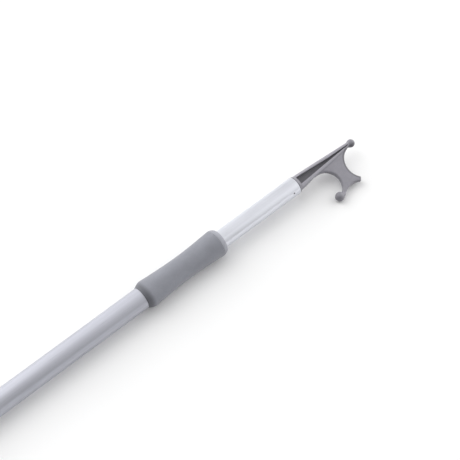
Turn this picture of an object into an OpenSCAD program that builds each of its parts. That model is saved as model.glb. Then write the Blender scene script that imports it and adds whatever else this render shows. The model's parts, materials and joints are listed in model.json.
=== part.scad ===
// Telescopic boat hook, lying down and partly drawn out.
// The pole's axis is X. The butt's end face is at X = 0 and the hook head is at +X.
// The head is rolled so that its hook points to -Y and its ball rests on the ground,
// level with the lowest line of both grips. Millimetres throughout.

/* [Outer tube] */
// Length of the outer tube
outer_len = 965; // [700:5:1400]
// Outside diameter of the outer tube
outer_d = 30; // [29.5:0.5:31]
// Wall thickness of both tubes
tube_wall = 1.2; // [1:0.1:1.3]

/* [Inner tube] */
// Length of the inner tube
inner_len = 850; // [500:5:860]
// Outside diameter of the inner tube
inner_d = 25; // [24.5:0.5:25]
// Length of inner tube that shows in front of the guide bush
drawn_len = 131; // [20:1:400]

/* [Grips] */
// Length of a grip; the front one's last stretch is the guide bush's nose
grip_len = 133; // [110:1:160]
// Diameter of a grip at its thick ends
grip_d = 38.4; // [37:0.1:42]
// Diameter of a grip at its waist
grip_waist_d = 33.3; // [32:0.1:36]
// Distance from a grip's back end to its waist
waist_x = 70; // [60:1:80]
// Length over which a grip's back end rounds down to the tube
back_round = 10.5; // [8:0.5:14]
// Length over which a grip's front end rounds down
front_round = 9.5; // [8:0.5:14]
// Clear length between the butt cap and the rear grip
rear_grip_gap = 2; // [0:0.5:40]

/* [Guide bush] */
// Length of the bush inside the outer tube
bush_len = 35; // [25:1:50]
// Length of the bush's rounded nose in front of the outer tube
bush_nose = 8.5; // [6:0.5:10]
// Cross section of the wiper ring in the nose
wiper_t = 1.6; // [1:0.1:2]

/* [Butt cap] */
// Length of the cap behind the outer tube
cap_len = 28; // [24:1:40]
// Diameter of the cap
cap_d = 32; // [31:0.5:34]
// Length of the cap's spigot in the tube
cap_spigot = 34; // [26:1:40]
// Diameter of the lanyard hole
lanyard_d = 7; // [5:0.5:8]
// Length of the lanyard hole between its two spot faces
lanyard_len = 25; // [20:1:27]

/* [Hook head] */
// Distance from the tube's end to the centre of the tip ball
tip_x = 103; // [101:0.5:105]
// Height of the tip ball's centre on the side away from the hook
tip_lift = 1.3; // [0:0.1:2]
// Diameter of the tip ball
tip_ball_d = 11.5; // [10:0.5:14]
// Diameter of the hook ball
hook_ball_d = 13; // [10:0.5:14]
// Thickness of the hook plate
plate_t = 8; // [6:0.5:9]
// Thickness of the web between the shank's two pockets
web_t = 3; // [2:0.5:5]
// Diameter of the shank at its narrow end
neck_d = 8; // [7:0.5:10]
// Radius of the hook's throat
throat_r = 21.5; // [20:0.1:22]
// Radius of the fork's curve, between tip and horn
fork_r = 25.4; // [25:0.1:26.2]
// Radius of the hollow between horn and hook ball
back_r = 24.6; // [23:0.1:25.5]
// Length of the thin collar that meets the tube's end
collar_len = 2.4; // [1.5:0.1:4]
// Length of the head's spigot in the inner tube
head_spigot = 45; // [30:1:60]

/* [Twist lock] */
// Length of the expander sleeve
sleeve_len = 34; // [30:1:45]
// Length of the expander cone
cone_len = 20; // [16:1:22]
// Diameter of the lock bolt
bolt_d = 8; // [6:1:8]
// Gap between cone and lock nut, which the cone closes when the lock is let go
cone_gap = 1; // [0.8:0.1:3]
// Half angle of the cone, in degrees
cone_angle = 10; // [6:1:11]

/* [Pins and seals] */
// Diameter of the cross pins
pin_d = 3; // [2.5:0.5:3]
// Cross section of the seal rings
seal_t = 1.6; // [1.2:0.1:1.7]

/* [Hidden] */
$fn = 96;
eps = 0.01;       // overlap that makes a cut go right through
slip = 0.05;      // radial gap of a running fit, and of a spigot in its tube
free_gap = 0.3;   // radial gap between pieces that never touch

// Radii
outer_r = outer_d / 2;
outer_bore_r = outer_r - tube_wall;
inner_r = inner_d / 2;
inner_bore_r = inner_r - tube_wall;
cap_r = cap_d / 2;
bolt_r = bolt_d / 2;
pin_r = pin_d / 2;
grip_r = grip_d / 2;
grip_foot_r = outer_r + 0.3;
bush_lip_r = inner_r + 0.9;
hook_ball_r = hook_ball_d / 2;
tip_ball_r = tip_ball_d / 2;

// Places along the pole
tube_start = cap_len;
mouth_x = tube_start + outer_len;
nose_x = mouth_x + bush_nose;
head_x = nose_x + drawn_len;
inner_start = head_x - inner_len;
bush_pin_x = mouth_x - 15;
butt_pin_x = tube_start + 20;
head_pin_x = head_x - 11;
plug_pin_x = inner_start + 18;

// Hook head, seen along its plate: X along the pole, Y towards the hook. The shank's
// lower line runs from its base to where it touches the throat's circle.
throat_c = [33.8, 28.4];
fork_c = [100.3, 26.4];
back_c = [64.4, 69.9];
hook_ball_c = [40, 48.7];
collar_r = inner_r - 0.5;
shank_base_r = inner_r - 1;
shank_lean = asin(tip_lift / tip_x);
lower_base = [0, shank_base_r];
throat_gap = norm(throat_c - lower_base);
lower_turn = atan2(throat_c[1] - lower_base[1], throat_c[0]) - asin(throat_r / throat_gap);
throat_start = lower_base + sqrt(pow(throat_gap, 2) - pow(throat_r, 2)) * [cos(lower_turn), sin(lower_turn)];

// Angles about the pole's axis, from +Y towards +Z
roll = asin((grip_r - hook_ball_r) / hook_ball_c[1]);
head_turn = 180 + roll;
head_pin_turn = 155;

// Twist lock, measured from the plug's flange towards the butt
flange_len = 6;
flange_r = outer_bore_r - free_gap;
nut_len = 4;
nut_af = 13;
end_nut_len = 8;
washer_t = 1.6;
flange_x = inner_start - flange_len;
cone_x = flange_x - nut_len - cone_gap;
cone_big_r = outer_bore_r - 1.6;
cone_small_r = cone_big_r - cone_len * tan(cone_angle);
cone_lead = 4;      // length of cone that stands out of the sleeve when locked
sleeve_x = cone_x - cone_lead;
sleeve_end = sleeve_x - sleeve_len;
slot_w = 2.5;
bolt_head_len = 5.3;
plug_len = 34;
plug_head_x = inner_start + 6;
bolt_end = sleeve_end - washer_t - end_nut_len - 3;

// ---- Helpers -------------------------------------------------------------

// Stands its children, drawn up Z, along +X from x.
module along_x(x = 0) {
    translate([x, 0, 0]) rotate([0, 90, 0]) children();
}

// A plain tube from x with a through bore.
module tube(x, len, r_out, r_in) {
    along_x(x) difference() {
        cylinder(r = r_out, h = len);
        translate([0, 0, -eps]) cylinder(r = r_in, h = len + 2 * eps);
    }
}

// A cylinder across the pole, centred on its axis, at an angle about it.
module across(x, turn, r, len) {
    translate([x, 0, 0]) rotate([turn, 0, 0]) rotate([90, 0, 0])
        cylinder(r = r, h = len, center = true);
}

// Hollow spring pin driven across a tube of radius r, its slot along the pole.
module spring_pin(x, turn, r) {
    wall = pin_r * 0.35;
    difference() {
        across(x, turn, pin_r, 2 * r - 0.5);
        across(x, turn, pin_r - wall, 2 * r + 1);
        translate([x, 0, 0]) rotate([turn, 0, 0])
            translate([0, -r, 0]) cube([pin_r + eps, 2 * r, 0.5]);
    }
}

// Ring of round section that lies in a groove, its outside at radius r.
module seal_ring(x, r, t) {
    along_x(x) rotate_extrude() translate([r - t / 2, 0]) circle(r = t / 2, $fn = 32);
}

// The groove that holds such a ring.
module seal_groove(x, r, t) {
    tube(x - t * 0.7, t * 1.4, r + 2, r - t - 0.05);
}

// Hexagonal prism from x along +X.
module hexagon(x, af, len) {
    along_x(x) cylinder(r = af / sqrt(3), h = len, $fn = 6);
}

// Height of a quarter ellipse that falls from its full height at 0 to nothing at len.
function quarter(x, len, height) = height * sqrt(1 - pow(min(max(x / len, 0), 1), 2));

// Outside radius of a grip at distance x from its back end. The waist swells out to
// both thick ends. The back one falls to the tube as a sine, the front one to front_foot
// as a quarter ellipse.
function grip_radius(x, front_foot) =
    let (
        waist_r = grip_waist_d / 2,
        front_x = grip_len - front_round,
        reach = x < waist_x ? waist_x - back_round : front_x - waist_x,
        swell = pow(min(abs(x - waist_x) / reach, 1), 1.7)
    )
    x < back_round ? grip_foot_r + (grip_r - grip_foot_r) * sin(90 * x / back_round)
    : x > front_x ? front_foot + quarter(x - front_x, front_round, grip_r - front_foot)
    : waist_r + (grip_r - waist_r) * swell;

// Soft sleeve on the outer tube, its back end at x, cut off after len.
module grip(x, len, front_foot) {
    steps = 48;
    along_x(x) rotate_extrude() polygon(concat(
        [for (i = [0:steps]) [grip_radius(len * i / steps, front_foot), len * i / steps]],
        [[outer_r, len], [outer_r, 0]]
    ));
}

// ---- Outer tube and what is fixed to it ------------------------------------

module outer_tube() {
    color("gainsboro") difference() {
        tube(tube_start, outer_len, outer_r, outer_bore_r);
        across(bush_pin_x, 0, pin_r, outer_d + 2);
        across(butt_pin_x, 90, pin_r, outer_d + 2);
    }
}

module front_grip() {
    color("slategray") grip(nose_x - grip_len, grip_len - bush_nose, bush_lip_r);
}

module rear_grip() {
    color("slategray") grip(tube_start + rear_grip_gap, grip_len, grip_foot_r);
}

// Bush in the mouth of the outer tube; its nose carries on the front grip's outline.
module guide_bush() {
    bore_r = inner_r + slip;
    nose_start = grip_len - bush_nose;
    steps = 12;
    color("lightslategray") difference() {
        union() {
            tube(mouth_x - bush_len, bush_len + 1, outer_bore_r - slip, bore_r);
            along_x(mouth_x) rotate_extrude() polygon(concat(
                [[bore_r, 0]],
                [for (i = [0:steps])
                    let (x = bush_nose * i / steps) [grip_radius(nose_start + x, bush_lip_r), x]],
                [[bore_r, bush_nose]]
            ));
        }
        tube(nose_x - 2.5 - wiper_t, wiper_t + 0.2, bore_r + wiper_t, bore_r - 1);
        across(bush_pin_x, 0, pin_r, outer_d + 2);
    }
}

module wiper_ring() {
    color("dimgray") tube(nose_x - 2.4 - wiper_t, wiper_t, inner_r + slip + wiper_t - 0.05, inner_r + slip);
}

// Two short solid pins that hold the bush in the tube.
module bush_pins() {
    inside = inner_r + 0.2;
    color("silver") for (turn = [0, 180])
        translate([bush_pin_x, 0, 0]) rotate([turn, 0, 0]) rotate([-90, 0, 0])
            translate([0, 0, inside]) cylinder(r = pin_r, h = outer_r - inside - 0.1);
}

// End cap with a flat face, a spigot in the tube and a cross hole for a lanyard.
module butt_cap() {
    edge = 3;
    spot_r = lanyard_d;
    hole_x = cap_len / 2;
    core_r = outer_bore_r - 3.5;
    color("slategray") difference() {
        union() {
            along_x() rotate_extrude() union() {
                translate([0, edge]) square([cap_r, cap_len - edge]);
                square([cap_r - edge, cap_len]);
                translate([cap_r - edge, edge]) circle(r = edge);
            }
            along_x(cap_len - 1) cylinder(r = outer_bore_r - slip, h = cap_spigot + 1);
        }
        across(hole_x, 0, lanyard_d / 2, cap_d + 2);
        for (side = [-1, 1])
            translate([hole_x, side * (lanyard_len / 2 + cap_r / 2), 0]) rotate([90, 0, 0])
                cylinder(r = spot_r, h = cap_r, center = true);
        along_x(cap_len + 6) cylinder(r = core_r, h = cap_spigot);
        across(butt_pin_x, 90, pin_r, outer_d + 2);
        seal_groove(cap_len + cap_spigot - 5, outer_bore_r - slip, seal_t);
    }
}

module butt_seal() {
    color("black") seal_ring(cap_len + cap_spigot - 5, outer_bore_r - slip, seal_t);
}

module butt_pin() {
    color("silver") spring_pin(butt_pin_x, 90, outer_r);
}

// ---- Twist lock ------------------------------------------------------------

// Cone from x towards the butt, its wide end at x.
module taper(x, r_wide, len) {
    translate([x, 0, 0]) rotate([0, -90, 0])
        cylinder(r1 = r_wide, r2 = r_wide - len * tan(cone_angle), h = len);
}

// Split sleeve that the cone spreads against the outer tube.
module expander_sleeve() {
    depth = cone_len - cone_lead + 2;
    mouth_r = cone_big_r - cone_lead * tan(cone_angle) + slip;
    color("white") difference() {
        along_x(sleeve_end) cylinder(r = outer_bore_r - slip, h = sleeve_len);
        taper(sleeve_x + eps, mouth_r + eps * tan(cone_angle), depth);
        along_x(sleeve_end - eps) cylinder(r = bolt_r + free_gap, h = sleeve_len);
        translate([sleeve_end - eps, -slot_w / 2, 0])
            cube([sleeve_len + 2 * eps, slot_w, outer_r]);
        for (turn = [90, 180, 270])
            rotate([turn, 0, 0])
                translate([sleeve_end + 8, -slot_w / 2, 0]) cube([sleeve_len, slot_w, outer_r]);
    }
}

// Tapered nut on the bolt; its key slides in the sleeve's long slot.
module expander_cone() {
    key_w = slot_w - 0.4;
    color("ivory") difference() {
        union() {
            taper(cone_x, cone_big_r, cone_len);
            translate([cone_x - cone_len, -key_w / 2, 0])
                cube([cone_len - 1, key_w, cone_big_r]);
        }
        along_x(cone_x - cone_len - 1) cylinder(r = bolt_r + slip, h = cone_len + 2);
    }
}

// ---- Inner tube and what is fixed to it ------------------------------------

module inner_tube() {
    color("gainsboro") difference() {
        tube(inner_start, inner_len, inner_r, inner_bore_r);
        across(head_pin_x, head_pin_turn, pin_r, inner_d + 2);
        across(plug_pin_x, 0, pin_r, inner_d + 2);
    }
}

// Foam rod that keeps the pole afloat.
module float_core() {
    start = inner_start + plug_len + 4;
    color("ivory") along_x(start)
        cylinder(r = inner_bore_r - free_gap, h = head_x - head_spigot - 4 - start);
}

// Outline of the hook plate: a web from the shank to the hook ball and the horn.
// The throat, the fork and the hollow behind the horn are cut from it as true arcs.
module hook_plate() {
    arm_end = [hook_ball_c[0] + 5, hook_ball_c[1] + 2];
    linear_extrude(plate_t, center = true) difference() {
        polygon([
            [20, 0], throat_start, throat_c, arm_end, [49, 54], [62, 50],
            [77.9, 49.3], [82.2, 44.2], [90, 30], [94, 2], [90, -3]
        ]);
        translate(throat_c) circle(r = throat_r);
        translate(fork_c) circle(r = fork_r);
        translate(back_c) circle(r = back_r);
    }
}

// Round tapered shank that leans to its tip, its lower side cut back to the throat.
module hook_shank() {
    intersection() {
        rotate([0, 0, -shank_lean]) along_x()
            cylinder(r1 = shank_base_r, r2 = neck_d / 2, h = tip_x);
        linear_extrude(inner_d + 2, center = true) difference() {
            polygon([
                [-1, -inner_r - 1], [tip_x, -inner_r], [tip_x, 6], [60, 9], throat_start,
                lower_base, [-1, lower_base[1]]
            ]);
            translate(throat_c) circle(r = throat_r);
            translate(fork_c) circle(r = fork_r);
        }
    }
}

// The long three-cornered pocket in each face of the shank.
module hook_pockets() {
    for (side = [-1, 1])
        rotate([0, 0, -shank_lean]) translate([0, 0, side * (web_t + inner_d) / 2])
            linear_extrude(inner_d, center = true)
                polygon([
                    [4.8, -6.4], [4.8, 4.9], [60, 1.8],
                    [tip_x - 6.5, 0.2], [tip_x - 6.5, -0.6], [60, -1.9]
                ]);
}

module hook_head() {
    color("gray") difference() {
        translate([head_x, 0, 0]) rotate([head_turn, 0, 0]) {
            difference() {
                union() {
                    along_x() cylinder(r = collar_r, h = collar_len);
                    hook_shank();
                    hook_plate();
                }
                hook_pockets();
            }
            translate([tip_x, -tip_lift, 0]) sphere(r = tip_ball_r);
            translate([hook_ball_c[0], hook_ball_c[1], 0]) sphere(r = hook_ball_r);
            difference() {
                along_x(-head_spigot) cylinder(r = inner_bore_r - slip, h = head_spigot + 1);
                along_x(-head_spigot - 1) cylinder(r = inner_bore_r - 3.5, h = head_spigot - 5);
                seal_groove(-head_spigot + 8, inner_bore_r - slip, seal_t);
            }
        }
        across(head_pin_x, head_pin_turn, pin_r, inner_d + 2);
    }
}

module head_pin() {
    color("silver") spring_pin(head_pin_x, head_pin_turn, inner_r);
}

module head_seal() {
    color("black") seal_ring(head_x - head_spigot + 8, inner_bore_r - slip, seal_t);
}

// Plug in the tube's inner end; the lock bolt's head sits in its six-sided pocket.
module lock_plug() {
    color("white") difference() {
        union() {
            along_x(flange_x) cylinder(r = flange_r, h = flange_len);
            along_x(inner_start - 1) cylinder(r = inner_bore_r - slip, h = plug_len + 1);
        }
        along_x(flange_x - 1) cylinder(r = bolt_r, h = plug_len + flange_len);
        hexagon(plug_head_x, nut_af, plug_len);
        across(plug_pin_x, 0, pin_r, inner_d + 2);
        seal_groove(inner_start + plug_len - 6, inner_bore_r - slip, seal_t);
    }
}

module plug_pin() {
    color("silver") spring_pin(plug_pin_x, 0, inner_r);
}

module plug_seal() {
    color("black") seal_ring(inner_start + plug_len - 6, inner_bore_r - slip, seal_t);
}

module lock_bolt() {
    color("silver") {
        hexagon(plug_head_x, nut_af - 0.1, bolt_head_len);
        along_x(bolt_end) cylinder(r = bolt_r, h = plug_head_x - bolt_end + 1);
    }
}

// Six-sided nut on the lock bolt.
module bolt_nut(x, len) {
    difference() {
        hexagon(x, nut_af, len);
        along_x(x - 1) cylinder(r = bolt_r, h = len + 2);
    }
}

module lock_nut() {
    color("silver") bolt_nut(flange_x - nut_len, nut_len);
}

module end_washer() {
    color("silver") tube(sleeve_end - washer_t - 0.1, washer_t, bolt_r + 6, bolt_r);
}

module end_nut() {
    color("silver") bolt_nut(sleeve_end - washer_t - 0.1 - end_nut_len, end_nut_len);
}

outer_tube();
front_grip();
rear_grip();
guide_bush();
wiper_ring();
bush_pins();
butt_cap();
butt_seal();
butt_pin();
expander_sleeve();
expander_cone();
inner_tube();
float_core();
hook_head();
head_pin();
head_seal();
lock_plug();
plug_pin();
plug_seal();
lock_bolt();
lock_nut();
end_washer();
end_nut();
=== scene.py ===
# Looks for the telescopic boat hook: camera, studio, moulded and soft pieces, and every material.
import itertools
import json
import math

import bpy
import numpy as np
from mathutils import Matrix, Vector


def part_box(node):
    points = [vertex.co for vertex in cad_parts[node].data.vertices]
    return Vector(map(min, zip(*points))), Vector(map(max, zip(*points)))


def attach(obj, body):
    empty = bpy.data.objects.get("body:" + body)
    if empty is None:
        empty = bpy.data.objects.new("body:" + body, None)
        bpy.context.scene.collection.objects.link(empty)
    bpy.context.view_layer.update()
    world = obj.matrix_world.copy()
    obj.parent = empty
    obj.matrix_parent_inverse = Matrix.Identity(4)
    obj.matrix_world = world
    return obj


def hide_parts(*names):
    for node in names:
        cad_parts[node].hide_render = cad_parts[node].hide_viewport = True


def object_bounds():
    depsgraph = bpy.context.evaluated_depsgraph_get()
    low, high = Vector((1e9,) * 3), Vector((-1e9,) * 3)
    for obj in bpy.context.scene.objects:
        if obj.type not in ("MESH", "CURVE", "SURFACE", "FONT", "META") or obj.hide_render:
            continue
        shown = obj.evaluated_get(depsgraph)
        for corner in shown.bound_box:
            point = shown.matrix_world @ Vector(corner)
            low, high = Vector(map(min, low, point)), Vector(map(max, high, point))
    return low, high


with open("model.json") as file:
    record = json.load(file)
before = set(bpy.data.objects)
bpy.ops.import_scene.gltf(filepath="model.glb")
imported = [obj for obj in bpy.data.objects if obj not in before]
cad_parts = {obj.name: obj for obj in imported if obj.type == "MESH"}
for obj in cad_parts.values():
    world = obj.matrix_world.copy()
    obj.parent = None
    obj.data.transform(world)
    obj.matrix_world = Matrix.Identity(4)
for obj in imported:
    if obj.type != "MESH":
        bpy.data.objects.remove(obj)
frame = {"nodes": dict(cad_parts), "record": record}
cad_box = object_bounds()
nodes = frame["nodes"]
MM = 0.001

# ---- Places on the pole, taken from the CAD nodes -----------------------------
GRIP_LENGTH = 133 * MM
GRIP_RADIUS = 19.2 * MM
GRIP_WAIST_RADIUS = 16.65 * MM
GRIP_WAIST_X = 70 * MM
GRIP_BACK_ROUND = 10.5 * MM
GRIP_FRONT_ROUND = 9.5 * MM
GRIP_SWELL = 1.7
GRIP_BORE = 15.02 * MM
# Share of the grips' colour taken away at their back ends: painted shade
LIP_PAINTED_SHADE = 0.42
SEAM = 0.7 * MM
OUTER_FOOT = 15.3 * MM
INNER_FOOT = 13.4 * MM
BUSH_RADIUS = 13.75 * MM
BUSH_BORE = 12.55 * MM
BUSH_LIP = 0.4 * MM
GROOVE_DEPTH = 1.6 * MM
GROOVE_GAP = 0.1 * MM

floor_z = cad_box[0][2]
mouth_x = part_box("outer_tube")[1][0]
nose_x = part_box("guide_bush")[1][0]
head_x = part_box("inner_tube")[1][0]
rear_grip_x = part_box("rear_grip")[0][0]

# ---- Camera ----------------------------------------------------------------------
LENS_MM = 117.4
SENSOR_MM = 36.0
CAMERA_AZIMUTH = math.radians(-40.4)
CAMERA_ELEVATION = math.radians(59.6)
CAMERA_DISTANCE = 1.981
AIM_FROM_NOSE = 0.0164
AIM_ABOVE_AXIS = 0.0041


def make_camera():
    """The main view: from the hook's side and the butt's, high up, aimed a little past the nose."""
    a, e = CAMERA_AZIMUTH, CAMERA_ELEVATION
    back = Vector((math.sin(a) * math.cos(e), -math.cos(a) * math.cos(e), math.sin(e)))
    right = Vector((math.cos(a), math.sin(a), 0))
    up = back.cross(right)
    aim = Vector((nose_x + AIM_FROM_NOSE, 0, 0)) + up * AIM_ABOVE_AXIS
    camera = bpy.data.cameras.new("photo_camera")
    camera.sensor_width = SENSOR_MM
    camera.lens = LENS_MM
    camera.clip_end = 50
    holder = bpy.data.objects.new("photo_camera", camera)
    holder.location = aim + back * CAMERA_DISTANCE
    holder.rotation_mode = "QUATERNION"
    holder.rotation_quaternion = (-back).to_track_quat("-Z", "Y")
    bpy.context.scene.collection.objects.link(holder)
    bpy.context.scene.camera = holder


# ---- Node helpers ----------------------------------------------------------------------
class Graph:
    """A node tree with short ways to add and join nodes."""

    def __init__(self, tree):
        self.tree = tree

    def add(self, kind, inputs=None, **settings):
        node = self.tree.nodes.new(kind)
        for key, value in settings.items():
            setattr(node, key, value)
        for key, value in (inputs or {}).items():
            self.put(node.inputs[key], value)
        return node

    def put(self, socket, value):
        if isinstance(value, bpy.types.NodeSocket):
            self.tree.links.new(value, socket)
        else:
            socket.default_value = value

    def math(self, operation, a, b=0.0, clamp=False):
        node = self.add("ShaderNodeMath", {0: a, 1: b}, operation=operation, use_clamp=clamp)
        return node.outputs[0]

    def remap(self, value, low, high, to_low=0.0, to_high=1.0):
        node = self.add("ShaderNodeMapRange", {0: value, 1: low, 2: high, 3: to_low, 4: to_high})
        return node.outputs[0]

    def mix(self, factor, a, b):
        node = self.add("ShaderNodeMix", data_type="RGBA")
        self.put(node.inputs[0], factor)
        self.put(node.inputs[6], a)
        self.put(node.inputs[7], b)
        return node.outputs[2]

    def noise(self, where, scale, detail=4.0, rough=0.5, stretch=None):
        if stretch:
            where = self.add("ShaderNodeVectorMath", {0: where, 1: stretch}, operation="MULTIPLY").outputs[0]
        inputs = {"Vector": where, "Scale": scale, "Detail": detail, "Roughness": rough}
        return self.add("ShaderNodeTexNoise", inputs).outputs[0]


def material(name, metallic=0.0):
    """A new material: its graph, its shader and the place on the surface in metres."""
    made = bpy.data.materials.new(name)
    made.use_nodes = True
    graph = Graph(made.node_tree)
    shader = made.node_tree.nodes["Principled BSDF"]
    shader.inputs["Metallic"].default_value = metallic
    place = graph.add("ShaderNodeTexCoord").outputs["Object"]
    return made, graph, shader, place


def rgba(colour, factor=1.0):
    return (*(c * factor for c in colour), 1.0)


def bump(graph, shader, layers):
    """Bump from several (height, depth in metres) layers, one on top of the other."""
    normal = None
    for height, depth in layers:
        node = graph.add("ShaderNodeBump", {"Height": height, "Distance": depth, "Strength": 1.0})
        if normal:
            graph.put(node.inputs["Normal"], normal)
        normal = node.outputs[0]
    graph.put(shader.inputs["Normal"], normal)


# ---- Materials: noise takes a scale, detail and roughness; rgba takes a share of a colour -------
def anodised(name, colour, roughness):
    """Satin anodised aluminium tube: fine lines from drawing, slide marks and cloudy variation."""
    made, g, shader, place = material(name, metallic=1.0)
    lines = g.noise(place, 1.0, 5.0, 0.65, stretch=(9.0, 2600.0, 2600.0))
    broad = g.noise(place, 1.0, 3.0, 0.5, stretch=(1.2, 310.0, 310.0))
    clouds = g.noise(place, 14.0, 4.0, 0.6)
    marks = g.remap(g.noise(place, 1.0, 2.0, 0.4, stretch=(24.0, 900.0, 900.0)), 0.66, 0.74)
    tint = g.mix(g.remap(clouds, 0.3, 0.7), rgba(colour, 0.96), rgba(colour, 1.03))
    tint = g.mix(g.remap(broad, 0.38, 0.62, 0.0, 0.8), tint, rgba(colour, 0.92))
    tint = g.mix(g.math("MULTIPLY", marks, 0.35), tint, rgba(colour, 0.82))
    g.put(shader.inputs["Base Color"], tint)
    cloudy = g.remap(clouds, 0.3, 0.7, roughness, roughness + 0.05)
    rough = g.math("ADD", g.remap(lines, 0.2, 0.8, -0.05, 0.05), cloudy)
    g.put(shader.inputs["Roughness"], g.math("ADD", rough, g.math("MULTIPLY", marks, 0.1)))
    bump(g, shader, [(broad, 0.00001), (lines, 0.000002)])
    return made


def rubber_foam(name, colour):
    """Matt soft grip: closed skin with fine pores and a suede mottle, rubbed lighter where it is held.
    Where the mesh has a tone, painted shade takes away that share of the colour."""
    made, g, shader, place = material(name)
    pores = g.add("ShaderNodeTexVoronoi", {"Vector": place, "Scale": 1500.0}).outputs["Distance"]
    grain = g.noise(place, 2200.0, 3.0, 0.6)
    rubbed = g.remap(g.noise(place, 22.0, 5.0, 0.6), 0.35, 0.7)
    dust = g.remap(g.noise(place, 160.0, 6.0, 0.7), 0.5, 0.8)
    mottle = g.remap(g.noise(place, 75.0, 3.0, 0.6), 0.35, 0.65)
    tint = g.mix(rubbed, rgba(colour, 0.93), rgba(colour, 1.06))
    tint = g.mix(g.math("MULTIPLY", mottle, 0.5), tint, rgba(colour, 0.86))
    tint = g.mix(g.math("MULTIPLY", g.remap(pores, 0.0, 0.25, 1.0, 0.0), 0.25), tint, rgba(colour, 0.6))
    tint = g.mix(g.math("MULTIPLY", dust, 0.12), tint, rgba(colour, 1.5))
    # Painted shade: the colour darkens towards a tenth of itself where the mesh has a tone
    tone = g.add("ShaderNodeAttribute", attribute_name="tone").outputs["Fac"]
    tint = g.mix(tone, tint, rgba(colour, 0.1))
    g.put(shader.inputs["Base Color"], tint)
    g.put(shader.inputs["Roughness"], g.remap(rubbed, 0.0, 1.0, 0.78, 0.62))
    shader.inputs["Specular IOR Level"].default_value = 0.35
    shader.inputs["Sheen Weight"].default_value = 0.12
    shader.inputs["Sheen Roughness"].default_value = 0.5
    bump(g, shader, [(g.noise(place, 60.0, 3.0), 0.00012), (grain, 0.00004), (pores, 0.00005)])
    return made


def moulded(name, colour, roughness, grain_depth, fleck=0.12, shine=0.5, toned=0.0):
    """Filled nylon or similar: a spark-eroded grain, faint flow clouds and small light scuffs.
    Where the mesh has a tone, painted shade darkens it by that share, and where it has a painted highlight,
    it is lighter."""
    made, g, shader, place = material(name)
    grain = g.noise(place, 1900.0, 4.0, 0.55)
    clouds = g.noise(place, 45.0, 5.0, 0.6)
    flow = g.noise(place, 1.0, 4.0, 0.6, stretch=(40.0, 260.0, 260.0))
    scuffs = g.remap(g.noise(place, 1.0, 3.0, 0.5, stretch=(300.0, 1400.0, 700.0)), 0.68, 0.78)
    mottle = g.remap(g.noise(place, 190.0, 3.0, 0.6), 0.35, 0.65, 0.0, 0.6)
    tint = g.mix(g.remap(clouds, 0.3, 0.7), rgba(colour, 0.95), rgba(colour, 1.1))
    tint = g.mix(mottle, tint, rgba(colour, 0.88))
    tint = g.mix(g.remap(flow, 0.4, 0.75, 0.0, fleck), tint, rgba(colour, 1.3))
    tint = g.mix(g.math("MULTIPLY", scuffs, 0.2), tint, rgba(colour, 1.6))
    if toned:
        # Painted highlight: the colour lightens where the mesh carries it
        painted_highlight = g.add("ShaderNodeAttribute", attribute_name="painted_highlight").outputs["Fac"]
        tint = g.mix(painted_highlight, tint, rgba(colour, 1.36))
        # Painted shade: the colour darkens where the mesh has a tone, by the share given as toned
        tone = g.add("ShaderNodeAttribute", attribute_name="tone").outputs["Fac"]
        tint = g.mix(g.math("MULTIPLY", tone, toned), tint, rgba(colour, 0.05))
    g.put(shader.inputs["Base Color"], tint)
    cloudy = g.remap(clouds, 0.3, 0.7, roughness - 0.04, roughness + 0.06)
    g.put(shader.inputs["Roughness"], g.math("ADD", cloudy, g.math("MULTIPLY", scuffs, 0.1)))
    shader.inputs["Specular IOR Level"].default_value = shine
    bump(g, shader, [(clouds, 0.00015), (grain, grain_depth)])
    return made


def turned_steel(name, colour):
    """Plain stainless steel with turning lines round its length and light tarnish."""
    made, g, shader, place = material(name, metallic=1.0)
    rings = g.noise(place, 1.0, 3.0, 0.6, stretch=(2400.0, 60.0, 60.0))
    tarnish = g.noise(place, 120.0, 5.0, 0.65)
    g.put(shader.inputs["Base Color"], g.mix(g.remap(tarnish, 0.35, 0.75), rgba(colour), rgba(colour, 0.75)))
    g.put(shader.inputs["Roughness"], g.remap(rings, 0.2, 0.8, 0.22, 0.42))
    bump(g, shader, [(rings, 0.000008)])
    return made


def cell_foam(name, colour):
    """Closed-cell float foam: round cells, each with its own shade."""
    made, g, shader, place = material(name)
    cells = g.add("ShaderNodeTexVoronoi", {"Vector": place, "Scale": 900.0})
    shade = g.remap(cells.outputs["Distance"], 0.0, 0.6)
    g.put(shader.inputs["Base Color"], g.mix(shade, rgba(colour), rgba(colour, 0.82)))
    g.put(shader.inputs["Roughness"], g.remap(g.noise(place, 300.0), 0.3, 0.7, 0.75, 0.9))
    bump(g, shader, [(cells.outputs["Distance"], 0.0003)])
    return made


ALUMINIUM = (0.513, 0.520, 0.573)
PALE_ALUMINIUM = (0.748, 0.762, 0.818)
MATERIALS = {
    "tube": anodised("satin_tube", ALUMINIUM, 0.52),
    "inner_tube": anodised("satin_inner_tube", PALE_ALUMINIUM, 0.32),
    "grip": rubber_foam("soft_grip", (0.265, 0.272, 0.307)),
    # The head's painted shade darkens it by half its tone
    "head": moulded("moulded_head", (0.273, 0.267, 0.299), 0.34, 0.00003, shine=0.38, toned=0.5),
    "bush": moulded("moulded_bush", (0.312, 0.318, 0.356), 0.45, 0.00002, shine=0.3),
    "cap": moulded("moulded_cap", (0.20, 0.205, 0.225), 0.5, 0.00004),
    "lock_plastic": moulded("acetal", (0.78, 0.77, 0.72), 0.35, 0.00001, fleck=0.03),
    "foam": cell_foam("float_foam", (0.82, 0.81, 0.76)),
    "steel": turned_steel("stainless", (0.64, 0.64, 0.65)),
    "seal": moulded("nitrile", (0.02, 0.02, 0.021), 0.4, 0.000005, fleck=0.05),
}


def paint_nodes():
    """Every CAD node gets the material of its slot in the record."""
    for part in frame["record"]["subparts"]:
        mesh = nodes[part["node"]].data
        mesh.materials.clear()
        mesh.materials.append(MATERIALS[part["material_slot"]])


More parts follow.
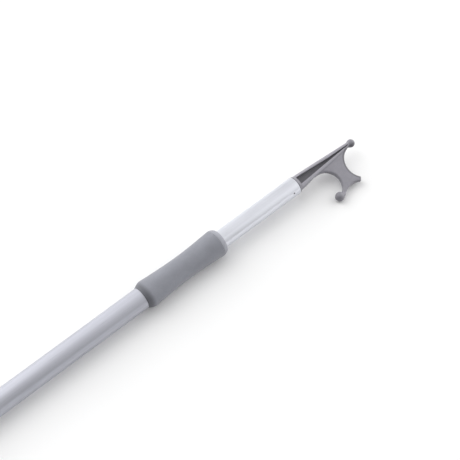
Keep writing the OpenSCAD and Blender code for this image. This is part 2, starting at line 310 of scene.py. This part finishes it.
# ---- Mesh helpers -------------------------------------------------------------------------------
def piece(name, points, faces, body, slot, *replaced):
    """A smooth mesh piece that rides on a body and stands for the named CAD nodes."""
    mesh = bpy.data.meshes.new(name)
    mesh.from_pydata([tuple(p) for p in points], [], [tuple(f) for f in faces])
    mesh.validate()
    mesh.polygons.foreach_set("use_smooth", [True] * len(mesh.polygons))
    mesh.materials.append(MATERIALS[slot])
    made = bpy.data.objects.new(name, mesh)
    bpy.context.scene.collection.objects.link(made)
    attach(made, body)
    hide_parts(*replaced)
    return made


def mark(made, name, values):
    """Write one number per point of a piece, for its material to read."""
    layer = made.data.attributes.new(name, "FLOAT", "POINT")
    layer.data.foreach_set("value", np.asarray(values, np.float32))


def lathe(outline, segments=144):
    """A closed (x, radius) outline turned about the pole's axis, outside first when x grows."""
    outline = np.array(outline)
    turn = np.arange(segments) * 2 * math.pi / segments
    x = np.repeat(outline[:, 0], segments)
    r = np.repeat(outline[:, 1], segments)
    a = np.tile(turn, len(outline))
    points = np.c_[x, r * np.cos(a), r * np.sin(a)]
    faces = []
    count = len(outline)
    for i in range(count):
        j = (i + 1) % count
        for k in range(segments):
            n = (k + 1) % segments
            faces.append((i * segments + k, i * segments + n, j * segments + n, j * segments + k))
    return points, faces


def surface_net(distance, low, high, step):
    """Quad mesh of the surface where a signed distance is zero, its points drawn exactly onto it."""
    axes = [np.arange(a, b + step, step) for a, b in zip(low, high)]
    grid = np.stack(np.meshgrid(*axes, indexing="ij"), -1)
    field = distance(grid.reshape(-1, 3)).reshape(grid.shape[:3])
    inside = field < 0
    cells = np.array(field.shape) - 1
    total = np.zeros((*cells, 3))
    count = np.zeros(cells)
    for axis in range(3):
        for other in itertools.product((0, 1), repeat=2):
            start = np.insert(other, axis, 0)
            end = np.insert(other, axis, 1)
            a = field[tuple(slice(o, o + n) for o, n in zip(start, cells))]
            b = field[tuple(slice(o, o + n) for o, n in zip(end, cells))]
            crossed = (a < 0) != (b < 0)
            along = np.where(crossed, a / np.where(crossed, a - b, 1), 0)
            for k in range(3):
                total[..., k] += np.where(crossed, along if k == axis else start[k], 0)
            count += crossed
    used = count > 0
    number = np.full(cells, -1)
    number[used] = np.arange(used.sum())
    points = np.array(low) + step * (np.argwhere(used) + total[used] / count[used][:, None])
    faces = []
    for axis in range(3):
        u, v = (axis + 1) % 3, (axis + 2) % 3
        first = np.take(inside, range(cells[axis]), axis)
        second = np.take(inside, range(1, cells[axis] + 1), axis)
        place = np.argwhere(first != second)
        pu, pv = place[:, u], place[:, v]
        place = place[(pu > 0) & (pv > 0) & (pu < cells[u]) & (pv < cells[v])]
        quad = []
        for du, dv in ((-1, -1), (0, -1), (0, 0), (-1, 0)):
            q = place.copy()
            q[:, u] += du
            q[:, v] += dv
            quad.append(number[tuple(q.T)])
        quad = np.stack(quad, 1)
        outward = first[tuple(place.T)]
        faces.append(np.where(outward[:, None], quad, quad[:, ::-1]))
    reach = step * 0.1
    for _ in range(4):
        value = distance(points)
        ends = [(distance(points + reach * unit), distance(points - reach * unit)) for unit in np.eye(3)]
        slope = np.stack([ahead - behind for ahead, behind in ends], 1)
        slope /= 2 * reach
        steep = np.maximum((slope ** 2).sum(1), 0.25)
        points = points - slope * (value / steep)[:, None]
    return points, np.concatenate(faces)


def smooth_max(a, b, k):
    """The larger of two distances, with a fillet of about k where they meet."""
    h = np.clip(0.5 + 0.5 * (a - b) / k, 0, 1)
    return b * (1 - h) + a * h + k * h * (1 - h)


def smooth_min(a, b, k):
    """The smaller of two distances, with a fillet of about k where they meet."""
    return -smooth_max(-a, -b, k)


def polygon_distance(x, y, corners):
    """Signed distance to a polygon's outline, negative inside."""
    nearest = np.full(x.shape, np.inf)
    inside = np.zeros(x.shape, bool)
    for (ax, ay), (bx, by) in zip(corners, corners[1:] + corners[:1]):
        ex, ey = bx - ax, by - ay
        t = np.clip(((x - ax) * ex + (y - ay) * ey) / (ex * ex + ey * ey), 0, 1)
        nearest = np.minimum(nearest, np.hypot(x - ax - t * ex, y - ay - t * ey))
        if ay != by:
            inside ^= ((ay > y) != (by > y)) & (x < ax + (y - ay) * ex / ey)
    return np.where(inside, -nearest, nearest)


def slab(flat, across, half, edge):
    """A flat outline given half a thickness, with its rims rounded by edge."""
    side = across - half + edge
    rim = flat + edge
    within = np.minimum(np.maximum(rim, side), 0)
    return np.hypot(np.maximum(rim, 0), np.maximum(side, 0)) + within - edge


# ---- Hook head, in millimetres: X along the pole, Y towards the hook, Z across its plate ---------
# Circles and balls are given as X, Y and radius; the pocket as corners along and beside the shank
THROAT = (33.8, 28.4, 21.5)
FORK = (100.3, 26.4, 25.4)
HOLLOW = (64.4, 69.9, 24.6)
HOOK_BALL = (40.0, 48.7, 6.5)
TIP_BALL = (103.0, -1.3, 5.75)
POCKET = [(4.8, -6.4), (4.8, 4.9), (60, 1.8), (96.5, 0.2), (96.5, -0.6), (60, -1.9)]
PLATE_HALF = 4.0
PLATE_EDGE = 2.4
WEB_HALF = 1.5
COLLAR_RADIUS = 12.0
COLLAR_LENGTH = 2.4
SHANK_BASE = 11.5
SHANK_NECK = 4.0
SPIGOT_RADIUS = 11.25
SPIGOT_BORE = 7.8
SPIGOT_LENGTH = 45.0
SPIGOT_OVERLAP = 0.6
SPIGOT_EDGE = 0.6
HORN_END = (81.0, 47.0)
HEAD_STEP = 0.55
HEAD_LOW = (-2.2, -14, -14.025)
HEAD_HIGH = (111, 58, 14)

# Fillets of the head's edges and corners
LOWER_FILLET = 0.8
THROAT_FILLET = 1.4
FORK_FILLET = 2.0
PLATE_FILLET = 1.2
BALL_FILLET = 2.4
POCKET_FLOOR_FILLET = 0.9
SMALL_FILLET = 0.5
COLLAR_EDGE = 0.7


def touch_point(base, circle):
    """Where a line from a point on the Y axis touches a circle, on the side of the pole."""
    x, y, radius = circle
    gap = math.hypot(x, y - base)
    turn = math.atan2(y - base, x) - math.asin(radius / gap)
    reach = math.sqrt(gap ** 2 - radius ** 2)
    return reach * math.cos(turn), base + reach * math.sin(turn)


THROAT_START = touch_point(SHANK_BASE, THROAT)
PLATE = [
    (20, 0), THROAT_START, THROAT[:2], (45, 50.7), (49, 54), (62, 50),
    (77.9, 49.3), (82.2, 44.2), (90, 30), (94, 2), (90, -3),
]


def to_ball(p, ball):
    """Distance to the surface of a ball in the head's middle plane."""
    return np.sqrt((p[:, 0] - ball[0]) ** 2 + (p[:, 1] - ball[1]) ** 2 + p[:, 2] ** 2) - ball[2]


def shank_place(x, y):
    """Distance along the shank's own axis, which runs to the tip ball, beside it, and its length."""
    tip_x, tip_y, _ = TIP_BALL
    reach = math.hypot(tip_x, tip_y)
    ux, uy = tip_x / reach, tip_y / reach
    return x * ux + y * uy, y * ux - x * uy, reach


def head_distance(p):
    """Signed distance to the head: tapered shank with two pockets, hook plate, collar and two balls."""
    x, y, z = p.T
    along, aside, reach = shank_place(x, y)

    def ring(circle):
        return circle[2] - np.hypot(x - circle[0], y - circle[1])

    throat, fork, hollow = ring(THROAT), ring(FORK), ring(HOLLOW)
    slope = (SHANK_BASE - SHANK_NECK) / reach
    shank = (np.hypot(aside, z) - (SHANK_BASE - slope * along)) / math.hypot(1, slope)
    start_x, start_y = THROAT_START
    drop = SHANK_BASE - start_y
    lower = ((y - SHANK_BASE) * start_x + x * drop) / math.hypot(start_x, drop)
    lower = np.where(x > start_x, -10.0, np.maximum(lower, -10))
    shank = smooth_max(shank, lower, LOWER_FILLET)
    shank = smooth_max(shank, throat, THROAT_FILLET)
    shank = smooth_max(shank, fork, FORK_FILLET)
    shank = smooth_max(shank, along - reach, SMALL_FILLET)
    cuts = np.maximum(np.maximum(throat, fork), hollow)
    flat = smooth_max(polygon_distance(x, y, PLATE), cuts, PLATE_FILLET)
    plate = slab(flat, np.abs(z), PLATE_HALF, PLATE_EDGE)
    body = smooth_min(shank, plate, PLATE_FILLET)
    in_outline = polygon_distance(along, aside, POCKET)
    pocket = smooth_max(in_outline, WEB_HALF - np.abs(z), POCKET_FLOOR_FILLET)
    body = smooth_max(body, -pocket, SMALL_FILLET)
    half = COLLAR_LENGTH / 2
    collar = slab(np.hypot(y, z) - COLLAR_RADIUS, np.abs(x - half), half, COLLAR_EDGE)
    body = smooth_min(body, collar, SMALL_FILLET)
    body = smooth_min(body, to_ball(p, TIP_BALL), BALL_FILLET)
    body = smooth_min(body, to_ball(p, HOOK_BALL), BALL_FILLET)
    return np.maximum(body, -x)


def head_place(points):
    """From the head's own millimetres to metres in the shared frame, mirrored so that the hook lies on
    the -Y side, and rolled so far that the hook's ball touches the floor."""
    _, ball_y, ball_radius = HOOK_BALL
    roll = math.asin((-floor_z / MM - ball_radius) / ball_y)
    cosine, sine = math.cos(roll), math.sin(roll)
    x, y, z = points.T * MM
    return np.c_[head_x + x, -y * cosine - z * sine, -y * sine + z * cosine]


def step_up(value, low, high):
    """Smooth 0 to 1 as a value goes from low to high."""
    t = np.clip((value - low) / (high - low), 0, 1)
    return t * t * (3 - 2 * t)


def head_marks(p):
    """Darkening and lightening of each point, 0 to 1: painted shade in the pockets, in the corner along the
    shank, round the fork, on the horn's end and a little on the balls, and a dark line at the tube; a painted
    highlight on the ridge between the pocket and that corner."""
    x, y, z = p.T
    along, aside, reach = shank_place(x, y)
    radius = SHANK_BASE - (SHANK_BASE - SHANK_NECK) / reach * along
    sunk = radius - np.hypot(aside, z)
    # Painted shade in the pockets, a little less towards the collar
    from_pocket = polygon_distance(along, aside, POCKET)
    in_pocket = step_up(-from_pocket, -0.4, 0.5) * step_up(sunk, 0.3, 1.6)
    narrow = 0.75 + 0.25 * step_up(along, 25, 60)
    # Painted shade round the fork's rim and on the horn's end
    from_fork = np.hypot(x - FORK[0], y - FORK[1]) - FORK[2]
    rim = step_up(-from_fork, -3.4, -2.2) * step_up(y, -1.5, 2)
    from_horn = np.hypot(x - HORN_END[0], y - HORN_END[1])
    horn = step_up(-from_horn, -4.2, -2.8)
    # Painted shade in the corner along the shank, on the hook's side
    over_corner = radius - np.hypot(aside, PLATE_HALF)
    hook_side = step_up(aside, 0, 1)
    corner = step_up(-np.abs(over_corner), -0.9, -0.1) * hook_side * step_up(-np.abs(z), -6, -3)
    seam = step_up(-x, -1.5, -0.8) * step_up(x, -1, 0)
    # Painted shade on the balls
    balls = step_up(-np.minimum(to_ball(p, TIP_BALL), to_ball(p, HOOK_BALL)), -1.2, -0.2)
    tone = np.maximum.reduce([in_pocket * narrow, rim, 0.8 * horn, 0.3 * corner, seam, 0.36 * balls])
    # Painted highlight on the ridge between the pocket and that corner
    ridge = step_up(from_pocket, 0, 0.5) * step_up(over_corner, 0.3, 1.3)
    return tone, ridge * hook_side * step_up(along, 2, 8) * (1 - in_pocket)


def make_head():
    """The head's surface, its faces turned because head_place mirrors them, and a spigot in the tube."""
    points, faces = surface_net(head_distance, HEAD_LOW, HEAD_HIGH, HEAD_STEP)
    tone, painted_highlight = head_marks(points)
    points = head_place(points)
    faces = faces[:, ::-1]
    spigot = [
        (SPIGOT_OVERLAP, SPIGOT_BORE), (SPIGOT_OVERLAP, SPIGOT_RADIUS),
        (-SPIGOT_LENGTH + SPIGOT_EDGE, SPIGOT_RADIUS), (-SPIGOT_LENGTH, SPIGOT_RADIUS - SPIGOT_EDGE),
        (-SPIGOT_LENGTH, SPIGOT_BORE),
    ]
    more, sides = lathe([(head_x + a * MM, r * MM) for a, r in spigot][::-1], 72)
    sides = np.array(sides) + len(points)
    points = np.concatenate([points, more])
    head = piece("moulded_hook_head", points, [*faces, *sides], "shaft", "head", "hook_head")
    # Painted shade and painted highlight of each point, for the head's material to read
    mark(head, "tone", np.concatenate([tone, np.zeros(len(more))]))
    mark(head, "painted_highlight", np.concatenate([painted_highlight, np.zeros(len(more))]))


# ---- Grips and guide bush ----------------------------------------------------------------------------
def grip_outside(x, front_foot):
    """Outside radius of a grip at a distance from its back end."""
    front_x = GRIP_LENGTH - GRIP_FRONT_ROUND
    if x < GRIP_BACK_ROUND:
        return OUTER_FOOT + (GRIP_RADIUS - OUTER_FOOT) * math.sin(math.pi / 2 * x / GRIP_BACK_ROUND)
    if x > front_x:
        t = min(1, (x - front_x) / GRIP_FRONT_ROUND)
        return front_foot + (GRIP_RADIUS - front_foot) * math.sqrt(1 - t * t)
    reach = GRIP_WAIST_X - GRIP_BACK_ROUND if x < GRIP_WAIST_X else front_x - GRIP_WAIST_X
    swell = min(abs(x - GRIP_WAIST_X) / reach, 1) ** GRIP_SWELL
    return GRIP_WAIST_RADIUS + (GRIP_RADIUS - GRIP_WAIST_RADIUS) * swell


def grip_outline(start, seam_x, front_foot):
    """Outline of a grip: even steps, then its front end's curve, or its rounded edge at the bush's seam."""
    front_x = GRIP_LENGTH - GRIP_FRONT_ROUND
    places = list(np.linspace(0, front_x, 120))
    if seam_x is None:
        places += [front_x + GRIP_FRONT_ROUND * math.sin(math.radians(a)) for a in range(5, 91, 5)]
        outside = [(start + x, grip_outside(x, front_foot)) for x in places]
        return [*outside, (start + GRIP_LENGTH, GRIP_BORE), (start, GRIP_BORE)]
    outside = [(start + x, grip_outside(x, front_foot)) for x in places if start + x < seam_x - SEAM]
    edge = grip_outside(seam_x - SEAM - start, front_foot)
    for angle in range(0, 91, 15):
        a = math.radians(angle)
        outside.append((seam_x - SEAM + SEAM * math.sin(a), edge - SEAM * (1 - math.cos(a))))
    return [*outside, (seam_x, GRIP_BORE), (start, GRIP_BORE)]


def make_grips():
    """Both grips, with painted shade at their back ends."""
    for name, start, seam_x, foot in (
        ("front_grip", nose_x - GRIP_LENGTH, mouth_x, INNER_FOOT),
        ("rear_grip", rear_grip_x, None, OUTER_FOOT),
    ):
        points, faces = lathe(grip_outline(start, seam_x, foot))
        grip = piece("soft_" + name, points, faces, "handle", "grip", name)
        # Painted shade on the back end's rounding, fading out along it
        unshaded = step_up(points[:, 0] - start, 0.35 * GRIP_BACK_ROUND, GRIP_BACK_ROUND)
        mark(grip, "tone", LIP_PAINTED_SHADE * (1 - unshaded))


def make_bush():
    """Guide bush: a sleeve in the tube, a nose that carries on the grip's outline, a groove for the wiper."""
    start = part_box("guide_bush")[0][0]
    front_x = nose_x - GRIP_FRONT_ROUND
    rise = GRIP_RADIUS - INNER_FOOT
    seam_share = (mouth_x + SEAM - front_x) / GRIP_FRONT_ROUND
    edge = INNER_FOOT + rise * math.sqrt(1 - seam_share ** 2)
    outline = [(start, BUSH_RADIUS), (mouth_x, BUSH_RADIUS)]
    for angle in range(0, 91, 15):
        a = math.radians(angle)
        outline.append((mouth_x + SEAM * (1 - math.cos(a)), edge - SEAM * (1 - math.sin(a))))
    first = math.degrees(math.asin(seam_share))
    for angle in np.linspace(first, 90, 28)[1:-1]:
        a = math.radians(angle)
        outline.append((front_x + GRIP_FRONT_ROUND * math.sin(a), INNER_FOOT + rise * math.cos(a)))
    outline += [(nose_x, INNER_FOOT - BUSH_LIP / 2), (nose_x, BUSH_BORE + BUSH_LIP)]
    wiper_low, wiper_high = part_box("wiper_ring")
    groove_back, groove_front = wiper_low[0] - GROOVE_GAP, wiper_high[0] + GROOVE_GAP
    outline += [(nose_x - BUSH_LIP, BUSH_BORE), (groove_front, BUSH_BORE)]
    outline += [(groove_front, BUSH_BORE + GROOVE_DEPTH), (groove_back, BUSH_BORE + GROOVE_DEPTH)]
    outline += [(groove_back, BUSH_BORE), (start, BUSH_BORE)]
    points, faces = lathe(outline)
    piece("moulded_guide_bush", points, faces, "handle", "bush", "guide_bush")


# ---- Studio ----------------------------------------------------------------------------------------------
FLOOR_WHITE = 0.92
FLOOR_HALF = 9
WHITE = (1, 1, 1)
AMBIENT = 0.705
DARKEST = 0.14
# Soft boxes, and a black card that takes light away: direction about +Z from +X, height above
# the floor and reach, all in degrees, then strength
SOFT_BOXES = {
    "low_window": (109, -2, 46, 1.78),
    "window": (114, 31, 39, 1.63),
    "ceiling": (114, 63, 32, 1.1),
    "side_fill": (346, 13, 57, 1.91),
    "black_card": (225, 7, 71, -2.24),
}


def make_floor():
    """A plain pale floor under the object, at its lowest point."""
    made, g, shader, place = material("floor_white")
    tone = g.remap(g.noise(place, 3.0), 0.3, 0.7)
    cloudy = g.mix(tone, rgba(WHITE, FLOOR_WHITE), rgba(WHITE, FLOOR_WHITE + 0.01))
    g.put(shader.inputs["Base Color"], cloudy)
    shader.inputs["Roughness"].default_value = 1.0
    shader.inputs["Specular IOR Level"].default_value = 0.0
    mesh = bpy.data.meshes.new("floor")
    corners = [(x * FLOOR_HALF, y * FLOOR_HALF, floor_z) for x, y in ((-1, -1), (1, -1), (1, 1), (-1, 1))]
    mesh.from_pydata(corners, [], [(0, 1, 2, 3)])
    mesh.materials.append(made)
    floor = bpy.data.objects.new("floor", mesh)
    bpy.context.scene.collection.objects.link(floor)


def make_world():
    """Soft boxes round the object, as smooth bright patches of a world that is seen as plain white."""
    world = bpy.data.worlds.new("studio")
    world.use_nodes = True
    g = Graph(world.node_tree)
    back = world.node_tree.nodes["Background"]
    way = g.add("ShaderNodeTexCoord").outputs["Generated"]
    total = AMBIENT
    for turn, height, reach, strength in SOFT_BOXES.values():
        a, e = math.radians(turn), math.radians(height)
        centre = (math.cos(a) * math.cos(e), math.sin(a) * math.cos(e), math.sin(e))
        facing = g.add("ShaderNodeVectorMath", {0: way, 1: centre}, operation="DOT_PRODUCT").outputs["Value"]
        edge = math.cos(math.radians(reach))
        fade = {0: facing, 1: edge, 2: 1.0, 3: 0.0, 4: strength}
        patch = g.add("ShaderNodeMapRange", fade, interpolation_type="SMOOTHSTEP")
        total = g.math("ADD", patch.outputs[0], total)
    total = g.math("MAXIMUM", total, DARKEST)
    seen = g.add("ShaderNodeLightPath").outputs["Is Camera Ray"]
    g.put(back.inputs["Color"], g.mix(seen, total, rgba(WHITE)))
    bpy.context.scene.world = world


make_camera()
make_world()
make_floor()
paint_nodes()
make_head()
make_grips()
make_bush()
bpy.context.scene.view_settings.view_transform = "Standard"
